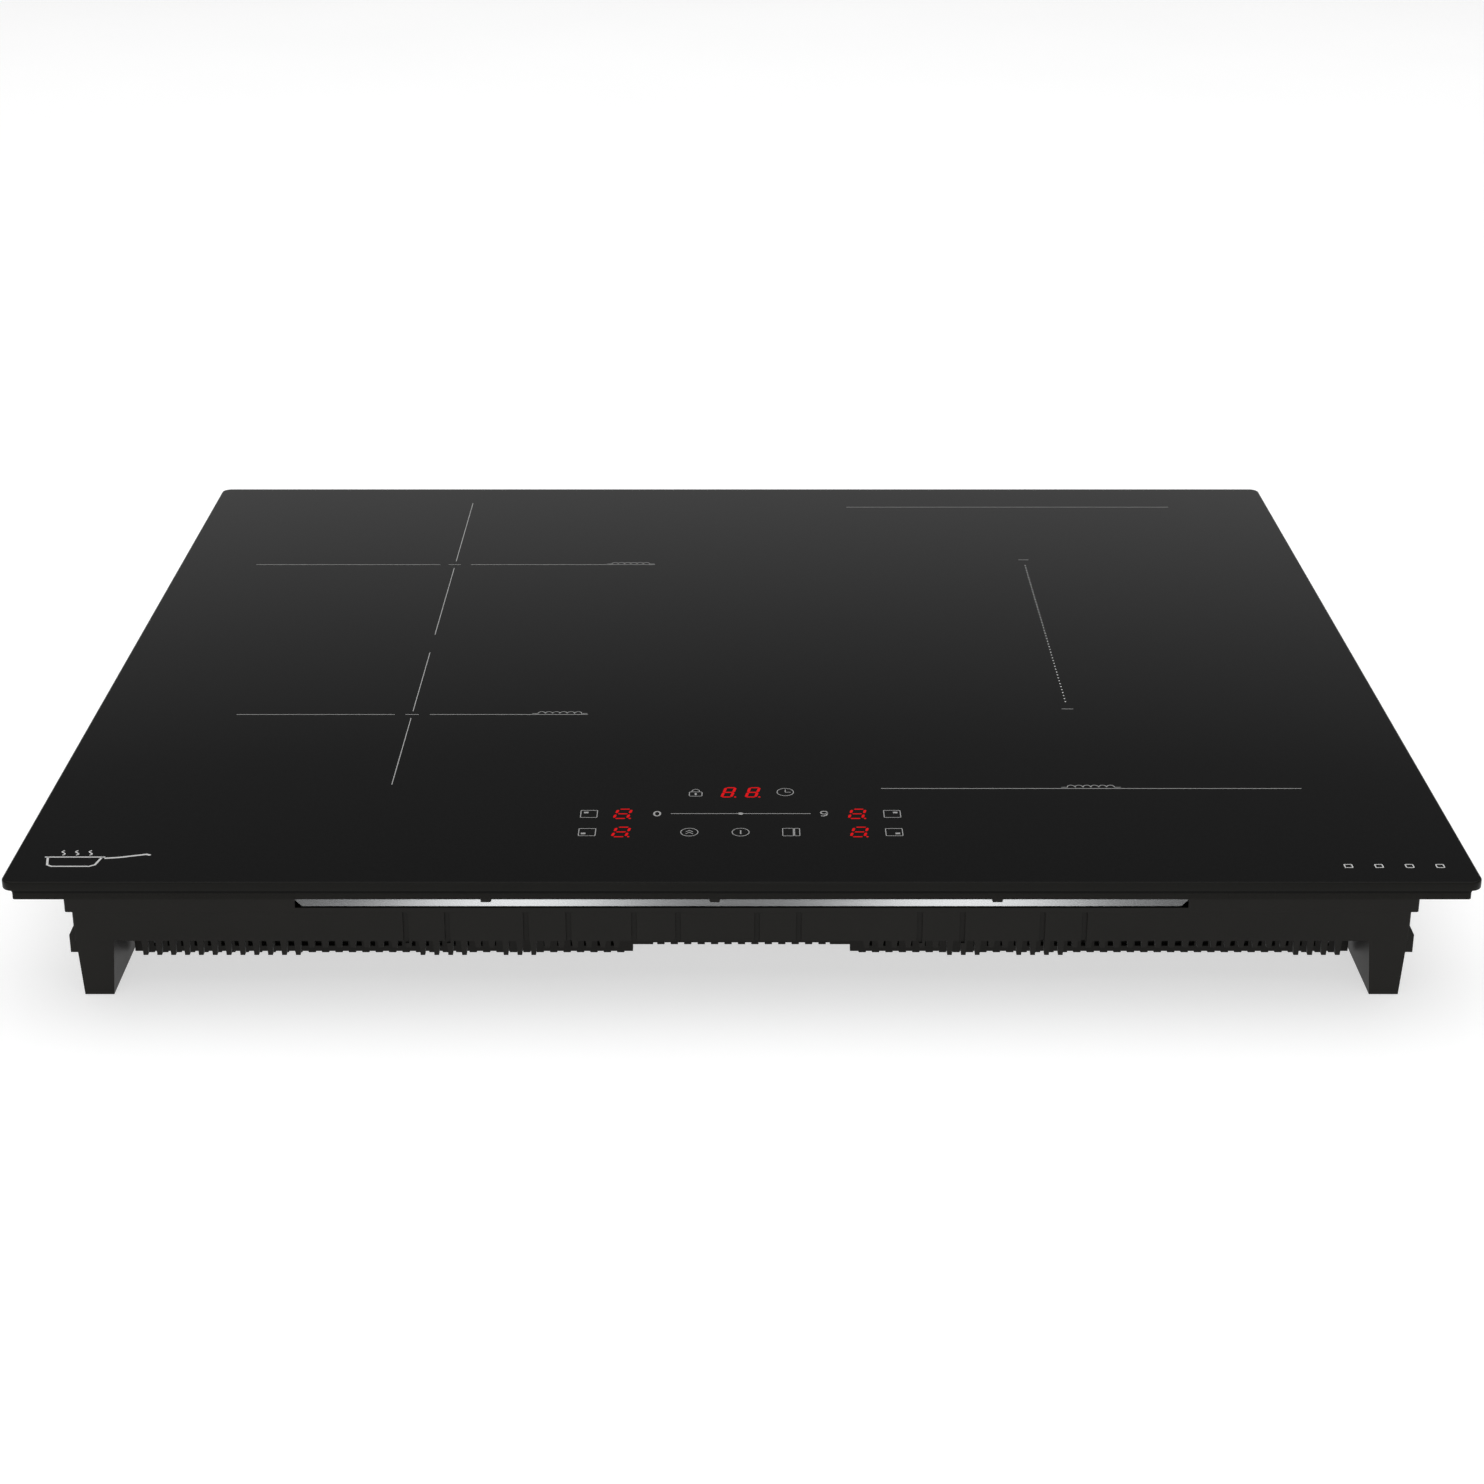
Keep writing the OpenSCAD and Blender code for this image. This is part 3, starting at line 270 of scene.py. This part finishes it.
MATERIALS = {
    "ceramic_glass": black_glass(),
    "silicone_bead": surface("silicone_bead", (0.0040, 0.0040, 0.0036), 0.60, grain=700, bump=0.2,
                             depth=0.1, specular=0.06),
    "foam_seal": surface("foam_seal", (0.0122, 0.0117, 0.0103), 0.85, grain=2200, cells=True, bump=0.6,
                         depth=0.12, specular=0.15),
    "case_plastic": surface("case_plastic", (0.0122, 0.0115, 0.0100), 0.46, grain=2600, bump=0.22,
                            depth=0.03, vary=0.16, edge=0.2, specular=0.13, patch=25),
    "bright_aluminium": bright_strip(),
    "plain_aluminium": surface("plain_aluminium", (0.62, 0.63, 0.64), 0.38, 1.0, grain=1200,
                               stretch=(1, 0.05, 1), vary=0.08, bump=0.12, depth=0.02),
    "ferrite": surface("ferrite", (0.045, 0.045, 0.050), 0.62, grain=1800, cells=True, bump=0.3),
    "zinc_steel": surface("zinc_steel", (0.50, 0.51, 0.53), 0.34, 1.0, grain=1400, vary=0.10, bump=0.1,
                          depth=0.02),
    "mica": surface("mica", (0.52, 0.47, 0.38), 0.60, grain=350, vary=0.22, bump=0.3),
    "red_silicone": surface("red_silicone", (0.42, 0.09, 0.05), 0.62, grain=900, bump=0.2),
    "sensor_ceramic": surface("sensor_ceramic", (0.70, 0.66, 0.56), 0.45, grain=1600, depth=0.03),
    "board": circuit_board(),
    "black_epoxy": surface("black_epoxy", (0.018, 0.018, 0.020), 0.50, grain=2200, bump=0.25, depth=0.03),
    "led_display": surface("led_display", (0.10, 0.010, 0.012), 0.40, grain=1800, bump=0.1, depth=0.02),
    "capacitor_case": surface("capacitor_case", (0.03, 0.12, 0.32), 0.36, bump=0.12, depth=0.03),
    "copper_winding": stranded("copper_winding", (0.34, 0.12, 0.04), (0.72, 0.34, 0.14), 0.85, 0.36),
    "terminal_plastic": surface("terminal_plastic", (0.66, 0.64, 0.57), 0.48, depth=0.03),
    "screw_brass": surface("screw_brass", (0.62, 0.46, 0.18), 0.30, 1.0, grain=1600, bump=0.1, depth=0.02),
    "gray_plastic": surface("gray_plastic", (0.24, 0.25, 0.26), 0.50, grain=2000, bump=0.2, depth=0.03),
    "bearing_brass": surface("bearing_brass", (0.58, 0.42, 0.18), 0.42, 1.0, grain=2400, cells=True,
                             bump=0.2, depth=0.02),
    "shaft_steel": surface("shaft_steel", (0.55, 0.55, 0.56), 0.16, 1.0, grain=2000,
                           stretch=(1, 1, 0.05), bump=0.05, depth=0.01),
    "impeller_plastic": surface("impeller_plastic", (0.050, 0.052, 0.060), 0.44, grain=2400, bump=0.2,
                                depth=0.03),
    "wire_sleeve": stranded("wire_sleeve", (0.36, 0.12, 0.03), (0.60, 0.24, 0.08), 0.0, 0.60, 700),
    "ribbon_sleeve": stranded("ribbon_sleeve", (0.34, 0.35, 0.37), (0.56, 0.57, 0.59), 0.0, 0.50, 400),
}
GROUND_EDGE = surface("ground_glass_edge", (0.0072, 0.0070, 0.0060), 0.38, grain=2600, bump=0.1,
                      depth=0.01, specular=0.09)
INK = printed_ink("glass_ink", 0.42)
INK_DIM = printed_ink("glass_ink_icons", 0.36)
INK_BRIGHT = printed_ink("glass_ink_bright", 0.62)
RED = lit_red()

for part in frame["record"]["subparts"]:
    obj = nodes[part["node"]]
    obj.data.materials.clear()
    obj.data.materials.append(MATERIALS[part["material_slot"]])


# ---------------------------------------------------------------- mesh helpers

def finish_mesh(name, bm, material, body="housing", smooth_angle=None):
    """Turns a bmesh into an object that rides a body, unless body is None."""
    bmesh.ops.recalc_face_normals(bm, faces=bm.faces)
    mesh = bpy.data.meshes.new(name)
    bm.to_mesh(mesh)
    bm.free()
    obj = bpy.data.objects.new(name, mesh)
    bpy.context.scene.collection.objects.link(obj)
    mesh.materials.append(material)
    if smooth_angle is not None:
        mesh.shade_smooth()
        mesh.set_sharp_from_angle(angle=math.radians(smooth_angle))
    if body:
        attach(obj, body)
    return obj


def rounded_outline(half_w, half_d, radius, steps=10):
    """Rectangle about the origin with rounded corners, anticlockwise from the right."""
    points = []
    for sx, sy, start in ((1, 1, 0), (-1, 1, 90), (-1, -1, 180), (1, -1, 270)):
        for i in range(steps + 1):
            a = math.radians(start + 90 * i / steps)
            points.append((sx * (half_w - radius) + radius * math.cos(a),
                           sy * (half_d - radius) + radius * math.sin(a)))
    return points


def rim(bm, half_w, half_d, radius, z):
    """Loop of vertices round the middle of the glass at height z."""
    return [bm.verts.new((CX + x, CY + y, z)) for x, y in rounded_outline(half_w, half_d, radius)]


def skin(bm, rim_a, rim_b, material_index=0):
    """Band of faces between two loops of vertices."""
    for i in range(len(rim_a)):
        j = (i + 1) % len(rim_a)
        bm.faces.new((rim_a[i], rim_a[j], rim_b[j], rim_b[i])).material_index = material_index


def build_glass():
    """The glass plate with ground, rounded edges all round."""
    half_w = (glass_high[0] - glass_low[0]) / 2
    half_d = (glass_high[1] - glass_low[1]) / 2
    foot = glass_low[2]
    # Height of each loop and how far it stands in from the glass's side, in millimetres
    profile = [(foot, 0.5), (foot + 0.15 * MM, 0.15), (foot + 0.5 * MM, 0.0), (FACE - 0.65 * MM, 0.0),
               (FACE - 0.40 * MM, 0.06), (FACE - 0.18 * MM, 0.22), (FACE - 0.05 * MM, 0.42), (FACE, 0.68),
               (FACE, 1.1)]
    bm = bmesh.new()
    rims = []
    for z, inset in profile:
        inset *= MM
        rims.append(rim(bm, half_w - inset, half_d - inset, GLASS_RADIUS - inset, z))
    for rim_a, rim_b in zip(rims, rims[1:-1]):
        skin(bm, rim_a, rim_b, 1)
    skin(bm, rims[-2], rims[-1])
    bm.faces.new(rims[0]).material_index = 1
    bm.faces.new(rims[-1])
    plate = finish_mesh("glass_top_plate", bm, MATERIALS["ceramic_glass"],
                        smooth_angle=30)
    plate.data.materials.append(GROUND_EDGE)
    return plate


class Ink:
    """Flat printed shapes on the glass, given in millimetres from the middle of the glass."""

    def __init__(self):
        self.bm = bmesh.new()

    def prism(self, outline):
        top = [self.bm.verts.new((CX + x * MM, CY + y * MM, PRINT_TOP)) for x, y in outline]
        low = [self.bm.verts.new((CX + x * MM, CY + y * MM, PRINT_LOW)) for x, y in outline]
        self.bm.faces.new(top)
        self.bm.faces.new(list(reversed(low)))
        for i in range(len(top)):
            j = (i + 1) % len(top)
            self.bm.faces.new((top[i], low[i], low[j], top[j]))

    def stroke(self, points, width, closed=False, sharpest=0.3, longest=2.0):
        """A line of even width through points, with mitred bends that reach no further than longest."""
        pts = [Vector(p) for p in points]
        n = len(pts)
        left, right = [], []
        for i in range(n):
            before = pts[i] - pts[i - 1] if (closed or i > 0) else None
            after = pts[(i + 1) % n] - pts[i] if (closed or i < n - 1) else None
            a = (before if before is not None else after).normalized()
            b = (after if after is not None else before).normalized()
            normal = Vector((-(a + b).y, (a + b).x))
            normal = normal.normalized() if normal.length > 1e-6 else Vector((-a.y, a.x))
            reach = min(longest, 1 / max(sharpest, normal.dot(Vector((-a.y, a.x))))) * width / 2
            left.append(pts[i] + normal * reach)
            right.append(pts[i] - normal * reach)
        for i in range(n if closed else n - 1):
            j = (i + 1) % n
            self.prism([left[i], right[i], right[j], left[j]])

    def line(self, x0, y0, x1, y1, width):
        self.stroke([(x0, y0), (x1, y1)], width)

    def box(self, x0, x1, y0, y1):
        self.prism([(x0, y0), (x1, y0), (x1, y1), (x0, y1)])

    def arc(self, cx, cy, rx, ry, width, start=0, end=360, steps=40):
        closed = end - start >= 360
        count = steps if closed else steps + 1
        pts = []
        for i in range(count):
            a = math.radians(start + (end - start) * i / steps)
            pts.append((cx + rx * math.cos(a), cy + ry * math.sin(a)))
        self.stroke(pts, width, closed)

    def frame(self, cx, cy, w, h, width, radius=0.7):
        pts = [(cx + x, cy + y) for x, y in rounded_outline(w / 2, h / 2, radius, 4)]
        self.stroke(pts, width, True)

    def disc(self, cx, cy, rx, ry, steps=20):
        turns = [2 * math.pi * i / steps for i in range(steps)]
        self.prism([(cx + rx * math.cos(a), cy + ry * math.sin(a)) for a in turns])

    def done(self, name, material):
        return finish_mesh(name, self.bm, material)


# ---------------------------------------------------------------- printing on the glass

REAR_ZONE = (-150.3, 127.4)     # middles of the two round zones on the left
FRONT_ZONE = (-150.2, -82.6)
JOINED_X = 149.7                # middle of the long joined zone on the right
JOINED_REAR = 226.1             # its far and near lines
JOINED_FRONT = -166.9
SLIDER_Y = -193.2               # the power slider's line
SLIDER_DOT_X = -0.4             # its middle, with the on and off key below it
KEYS_Y = -211.9                 # row of keys in front of the slider


def coil_sign(ink, x0, x1, y):
    """Schematic coil: a short lead, a row of loops, a short lead."""
    loops = 6
    points_in_loop = 8
    lead = 2.6
    height = 2.3
    step = (x1 - x0 - 2 * lead) / loops
    pts = [(x0, y), (x0 + lead, y)]
    for k in range(loops):
        cx = x0 + lead + step * (k + 0.5)
        for i in range(1, points_in_loop + 1):
            a = math.pi * (1 - i / points_in_loop)
            pts.append((cx + step / 2 * math.cos(a), y + height * math.sin(a)))
    pts.append((x1, y))
    ink.stroke(pts, COIL)


def zone_cross(ink, middle, level_runs, upright_runs):
    """Broken lines through the middle of a round zone, as far as its rim."""
    x, y = middle
    for start, end in level_runs:
        ink.line(start, y, end, y, LINE)
    for start, end in upright_runs:
        ink.line(x, start, x, end, LINE)


def print_zones():
    """Zone lines, each with its small coil drawing just behind it."""
    ink = Ink()
    # Large round zone, rear left
    zone_cross(ink, REAR_ZONE, level_runs=[(-255, -158.1), (-153.7, -147.3), (-142, -45.1)],
               upright_runs=[(233.4, 132.8), (122.1, 21.8)])
    coil_sign(ink, -70.4, -45.4, REAR_ZONE[1] + 1.2)
    # Small round zone, front left
    zone_cross(ink, FRONT_ZONE, level_runs=[(-230.3, -158.1), (-153.2, -147.1), (-142.1, -69.9)],
               upright_runs=[(-2.9, -78.6), (-87, -162.6)])
    coil_sign(ink, -95.4, -70.2, FRONT_ZONE[1] + 1.2)
    # Long joined zone, right: its far and near lines, and a tick at each end of the row of dots
    ink.line(59.4, JOINED_REAR, 239.5, JOINED_REAR, LINE)
    ink.line(59.8, JOINED_FRONT, 239.7, JOINED_FRONT, LINE)
    ink.line(147, 135.1, 152.3, 135.1, LINE)
    ink.line(147, -75.8, 152.3, -75.8, LINE)
    coil_sign(ink, 137.1, 162.6, JOINED_FRONT + 1.3)
    return ink.done("printed_zone_lines", INK)


def zone_icon(ink, left, bottom, spot_x, spot_y):
    """Square for the hob with a spot for the zone that the key beside it chooses."""
    ink.frame(left + 3.95, bottom + 4, 6.9, 7.2, ICON, 0.4)
    ink.box(left + spot_x - 0.95, left + spot_x + 0.95, bottom + spot_y - 0.75, bottom + spot_y + 0.75)


def print_controls():
    """The touch panel's icons, row by row from the back."""
    ink = Ink()
    # Key lock: body, shackle, keyhole
    ink.frame(-19.5, -172.8, 5.4, 4.6, ICON, 0.8)
    ink.arc(-19.5, -170.4, 1.7, 2.6, ICON, 0, 180, 12)
    ink.box(-19.9, -19.1, -174.0, -171.6)
    # Timer
    ink.arc(18.7, -170.7, 3.5, 3.9, ICON)
    ink.stroke([(18.7, -168.0), (18.7, -170.9), (21.0, -170.9)], ICON)
    # Zone choice
    zone_icon(ink, -67.9, -197.5, 2.75, 5.4)
    zone_icon(ink, -67.8, -215.9, 2.4, 2.7)
    zone_icon(ink, 59.2, -197.5, 5.3, 5.4)
    zone_icon(ink, 59.1, -215.9, 5.4, 2.7)
    # Power slider with its end numbers
    ink.arc(-35.4, -193.3, 1.3, 2.3, 0.75, steps=24)
    ink.line(-29.7, SLIDER_Y, 29.0, SLIDER_Y, 0.42)
    ink.arc(34.6, -192.2, 1.35, 1.45, 0.6, steps=20)
    nine_tail = [(35.95, -192.2), (35.9, -193.6), (35.4, -195.0), (34.4, -195.7), (33.3, -195.4)]
    ink.stroke(nine_tail, 0.65)
    # Boost: ring with two chevrons
    ink.arc(-21.6, KEYS_Y, 3.55, 3.9, ICON)
    for dy in (-1.3, 0.7):
        ink.stroke([(-23.1, -212.3 + dy), (-21.6, -210.8 + dy), (-20.1, -212.3 + dy)], ICON)
    # On and off
    ink.arc(SLIDER_DOT_X, KEYS_Y, 3.5, 3.9, ICON)
    ink.line(SLIDER_DOT_X, KEYS_Y + 1.8, SLIDER_DOT_X, KEYS_Y - 1.8, 0.55)
    # Join zones
    ink.frame(19.2, KEYS_Y + 0.05, 4.4, 7.5, ICON, 0.4)
    ink.frame(22.95, KEYS_Y + 0.05, 2.1, 7.5, ICON, 0.5)
    return ink.done("printed_control_icons", INK_DIM)


def print_bright():
    """The marks that are brighter in the photograph, or take the place of words there."""
    ink = Ink()
    # Row of dots between the two halves of the joined zone
    dots, first_y, last_y = 52, 125.8, -66.8
    for i in range(dots):
        ink.disc(JOINED_X, first_y + (last_y - first_y) * i / (dots - 1), 0.36, 0.6, 8)
    ink.disc(SLIDER_DOT_X, SLIDER_Y, 1.15, 0.95)
    # Generic pan sign at the front left: body, rim, handle and three wisps of steam
    rim_y, thick = -236.2, 0.9
    body = [(-281, rim_y), (-279.6, -243.6), (-277.6, -245.0), (-262.4, -245.0), (-260.4, -243.6),
            (-259, rim_y)]
    ink.stroke(body, thick)
    ink.line(-282.2, rim_y, -257.8, rim_y, thick)
    ink.stroke([(-257.8, -237.4), (-252, -236.6), (-241.6, -233.6), (-239.8, -234.4)], 1.2)
    for x in (-275.5, -270, -264.5):
        wisp = [(x + 0.8 * math.sin(i * math.pi / 4), rim_y + 1.8 + i * 0.55) for i in range(9)]
        ink.stroke(wisp, 0.6)
    # Row of four small squares at the front right
    for k in range(4):
        ink.frame(244 + k * 12.3, -244.7, 3.0, 3.0, 0.5, 0.4)
    return ink.done("printed_bright_signs", INK_BRIGHT)


def digit(ink, left, bottom, width, height, slant, thick, gap, dot):
    """A slanting seven-segment eight and its point.

    Left and bottom are where its lower left corner stands, gap is how far each segment stays clear of
    the joints between segments, and dot is how far the point stands to the right.
    """
    def at(u, v):
        return (left + u + slant * v / height, bottom + v)

    def level_bar(v, start, end):
        a, b, h = start + gap, end - gap, thick / 2
        ink.prism([at(a, v), at(a + h, v - h), at(b - h, v - h),
                   at(b, v), at(b - h, v + h), at(a + h, v + h)])

    def upright_bar(u, start, end):
        a, b, h = start + gap, end - gap, thick * 0.62
        ink.prism([at(u, a), at(u + h, a + h), at(u + h, b - h),
                   at(u, b), at(u - h, b - h), at(u - h, a + h)])

    edge = thick / 2
    for v in (edge, height / 2, height - edge):
        level_bar(v, edge, width - edge)
    for u in (edge, width - edge):
        upright_bar(u, edge, height / 2)
        upright_bar(u, height / 2, height - edge)
    ink.disc(*at(width + dot, 0.5), 0.5, 0.6, 12)


def light_displays():
    """The red figures: two for the timer, and one beside each zone's icon."""
    ink = Ink()
    for left in (-9.0, 1.3):
        digit(ink, left, -176.4, width=5.0, height=10.8, slant=2.0, thick=0.95, gap=0.12, dot=1.2)
    for left, bottom in ((-54.0, -198.6), (-54.0, -216.9), (44.3, -198.6), (44.5, -216.9)):
        digit(ink, left, bottom, width=6.5, height=10.4, slant=1.9, thick=0.9, gap=0.7, dot=0.7)
    return ink.done("display_digits", RED)


def build_shade_fillet():
    """Near-black silicone fillet under the glass, all round the flange: painted shade, a dark sheet that
    stands for the shadow beneath the glass's overhang.
    """
    flange_low, flange_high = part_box("carrier_flange")
    half_w = (flange_high[0] - flange_low[0]) / 2
    half_d = (flange_high[1] - flange_low[1]) / 2
    flange_radius = 1.5 * MM
    top = glass_low[2] - 0.02 * MM
    foot = flange_high[2] - 1.95 * MM
    # Height of each loop and how far it stands out from the flange's side, in millimetres
    profile = [(top, -0.3), (top, 1.2), (flange_high[2] - 0.9 * MM, 0.5), (foot, 0.1), (foot, -0.3)]
    bm = bmesh.new()
    rims = []
    for z, out in profile:
        out *= MM
        rims.append(rim(bm, half_w + out, half_d + out, flange_radius + out, z))
    for rim_a, rim_b in zip(rims, rims[1:] + rims[:1]):
        skin(bm, rim_a, rim_b)
    return finish_mesh("painted_shade_fillet", bm, MATERIALS["silicone_bead"], smooth_angle=30)


glass = build_glass()
# Dark fillet under the glass edge: painted shade standing in for the shadow beneath the overhang
build_shade_fillet()
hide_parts("glass_plate")
print_zones()
print_controls()
print_bright()
light_displays()


# ---------------------------------------------------------------- floor, light, camera

FLOOR_REACH = 14.0              # metres from the middle to each side of the floor
FLOOR_DROP = 0.3 * MM           # gap under the legs, so that no faces lie in one plane
FLOOR_GLOW = 0.62               # the photograph's ground is white, so the floor shines a little
VIEW_TILT = 22.65               # degrees that the camera looks down, solved from the glass's corners
VIEW_SIDE = -1.9 * MM           # where the camera stands: from the glass's middle to the side,
VIEW_BACK = 988.8 * MM          # in front of its front edge
VIEW_UP = 473.0 * MM            # and above its top
SENSOR = 36.0                   # width of the sensor and focal length, in millimetres
LENS = 66.88625
SHIFT = 0.0033693               # sideways shift, as a part of the picture's width
WALLS = [(0.0, 0.62), (0.20, 0.42), (0.29, 0.27), (0.345, 0.155), (0.386, 0.088), (0.432, 0.075),
         (1.0, 0.10)]


def build_floor():
    """Pale, slightly clouded studio floor."""
    parts = 8
    steps = [-FLOOR_REACH + 2 * FLOOR_REACH * i / parts for i in range(parts + 1)]
    bm = bmesh.new()
    grid = [[bm.verts.new((x, y, -FLOOR_DROP)) for y in steps] for x in steps]
    for i in range(parts):
        for j in range(parts):
            bm.faces.new((grid[i][j], grid[i + 1][j], grid[i + 1][j + 1], grid[i][j + 1]))
    mat, tree, shader = new_material("studio_floor")
    cloud = node(tree, "ShaderNodeTexNoise", Scale=3.0, Detail=4.0)
    tree.links.new(place(tree), cloud.inputs["Vector"])
    paint = shades(tree, cloud.outputs["Fac"], (0.50, 0.50, 0.50), (0.52, 0.52, 0.52))
    tree.links.new(paint, shader.inputs["Base Color"])
    shader.inputs["Roughness"].default_value = 0.9
    shader.inputs["Specular IOR Level"].default_value = 0.0
    shader.inputs["Emission Color"].default_value = (1, 1, 1, 1)
    shader.inputs["Emission Strength"].default_value = FLOOR_GLOW
    floor = finish_mesh("studio_floor", bm, mat, body=None)


def area_light(name, location, target, size_x, size_y, radiance):
    """Rectangular lamp that faces target. Radiance is how bright it looks, whatever its size."""
    data = bpy.data.lights.new(name, "AREA")
    data.shape = "RECTANGLE"
    data.size = size_x
    data.size_y = size_y
    data.energy = radiance * math.pi * size_x * size_y
    obj = bpy.data.objects.new(name, data)
    obj.location = location
    obj.rotation_euler = (Vector(target) - Vector(location)).to_track_quat("-Z", "Y").to_euler()
    bpy.context.scene.collection.objects.link(obj)


def build_lights():
    """A big softbox above, a soft fill in front, and two strip lights for the bright strip."""
    area_light("overhead_softbox", location=(0, 0, 3.5), target=(0, 0, 0), size_x=6.0, size_y=6.0,
               radiance=1.55)
    area_light("front_fill", location=(0, -4.2, 1.9), target=(0, 0, 0.05), size_x=3.6, size_y=1.6,
               radiance=0.9)
    for name, side in (("front_strip_left", -1), ("front_strip_right", 1)):
        area_light(name, location=(side * 0.335, -3.2, 0.45), target=(0, -0.24, 0.04), size_x=0.27,
                   size_y=0.8, radiance=6.9)


def build_world():
    """Dim studio walls, brighter towards the horizon. WALLS gives the gray at each height."""
    world = bpy.data.worlds.new("studio")
    bpy.context.scene.world = world
    world.use_nodes = True
    tree = world.node_tree
    back = tree.nodes["Background"]
    coord = tree.nodes.new("ShaderNodeTexCoord")
    split = tree.nodes.new("ShaderNodeSeparateXYZ")
    tree.links.new(coord.outputs["Generated"], split.inputs["Vector"])
    ramp = tree.nodes.new("ShaderNodeValToRGB")
    tree.links.new(split.outputs["Z"], ramp.inputs["Fac"])
    elements = ramp.color_ramp.elements
    while len(elements) < len(WALLS):
        elements.new(0.5)
    for element, (position, level) in zip(elements, WALLS):
        element.position = position
        element.color = (level, level, level, 1)
    tree.links.new(ramp.outputs["Color"], back.inputs["Color"])
    back.inputs["Strength"].default_value = 1.0


def build_camera():
    """The photograph's view: in front of the glass, looking down over its front edge."""
    data = bpy.data.cameras.new("camera")
    data.sensor_width = SENSOR
    data.lens = LENS
    data.shift_x = SHIFT
    data.clip_start = 0.05
    data.clip_end = 100.0
    camera = bpy.data.objects.new("camera", data)
    camera.location = (CX + VIEW_SIDE, glass_low[1] - VIEW_BACK, TOP + VIEW_UP)
    camera.rotation_euler = (math.radians(90 - VIEW_TILT), 0, 0)
    bpy.context.scene.collection.objects.link(camera)
    bpy.context.scene.camera = camera


build_floor()
build_world()
build_lights()
build_camera()

scene = bpy.context.scene
scene.view_settings.view_transform = "Standard"
scene.view_settings.look = "None"
